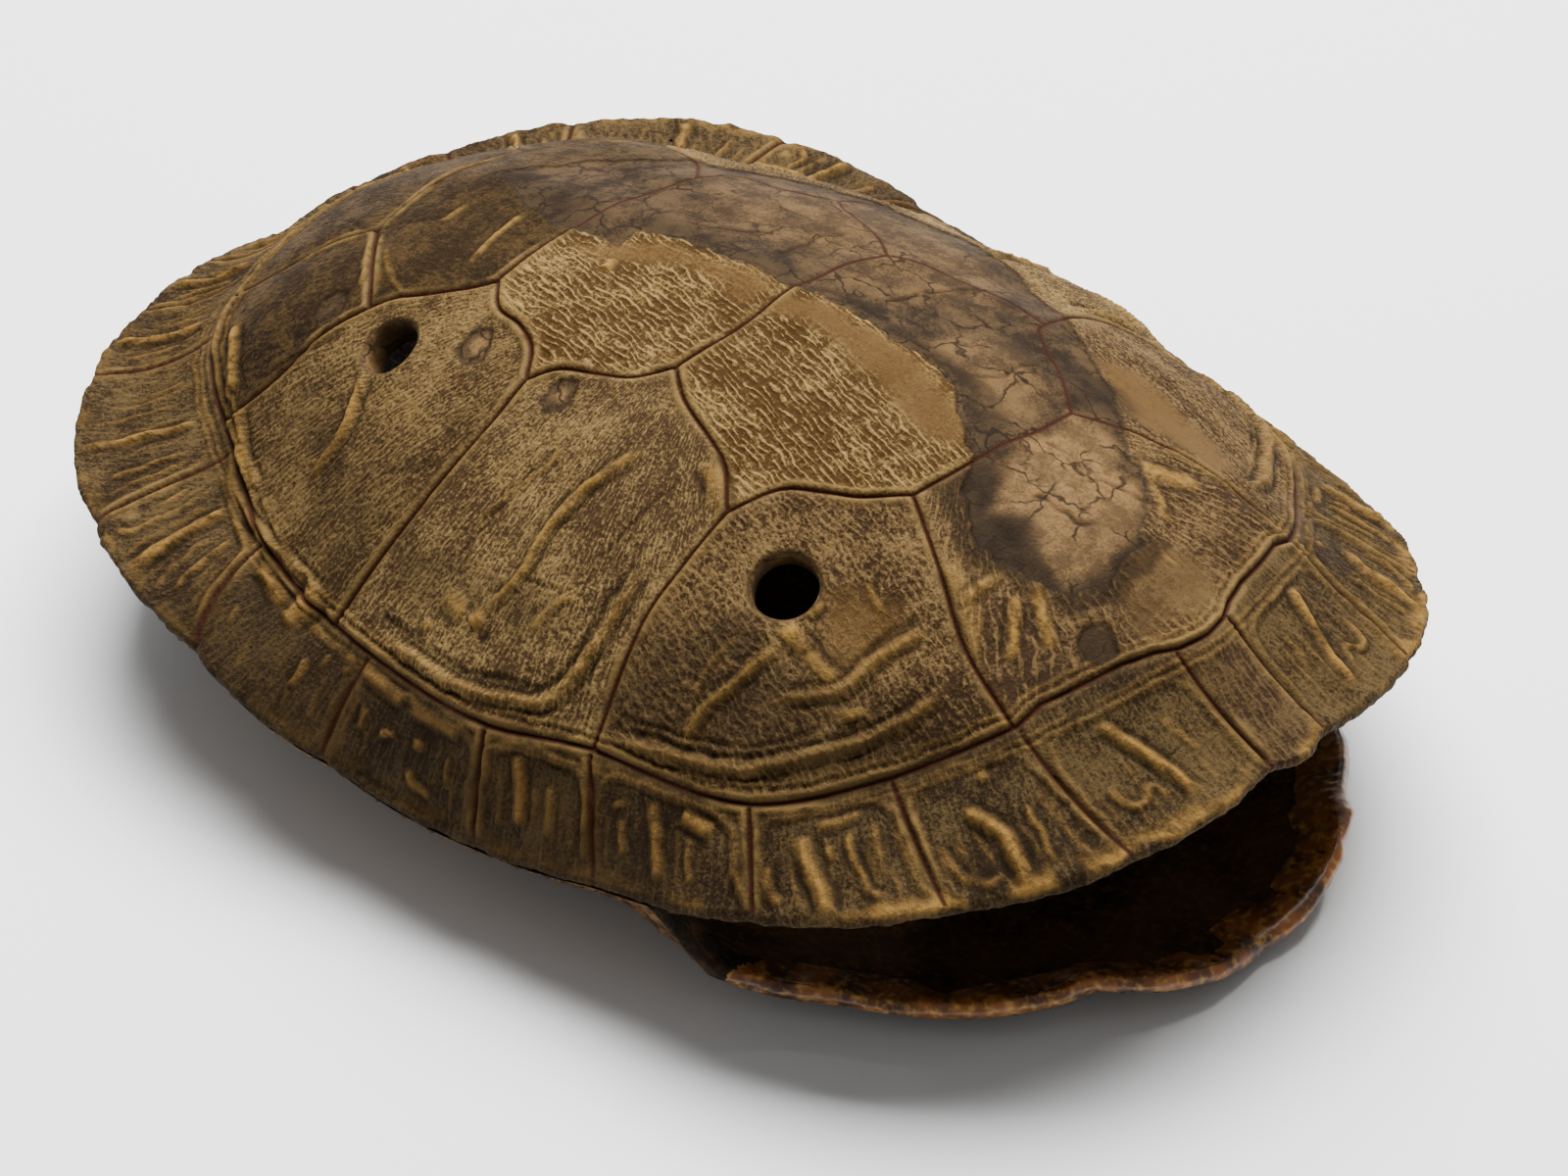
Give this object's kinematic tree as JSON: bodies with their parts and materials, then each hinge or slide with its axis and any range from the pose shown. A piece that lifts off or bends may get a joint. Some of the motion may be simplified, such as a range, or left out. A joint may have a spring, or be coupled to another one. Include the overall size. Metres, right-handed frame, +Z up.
{
  "type": "turtle shell",
  "caption": "Dried turtle shell: domed upper shell with scute seams on a flat lower shell, open at head and tail, drilled through one flank.",
  "frame": {"origin": "middle of the bounding box on the ground, under the flat of the plastron", "axes": "+X towards the head opening, +Y to the animal's left, +Z up"},
  "size_m": [0.2541, 0.191, 0.0859],
  "materials": {
    "scute_horn": "weathered keratin scutes, olive brown with ochre bars and dark seams, satin",
    "shell_bone": "dry plastron bone and horn, stained dark inside, amber along the edge, satin"
  },
  "bodies": {
    "root": {"carapace": "scute_horn", "plastron": "shell_bone"}
  },
  "joints": []
}
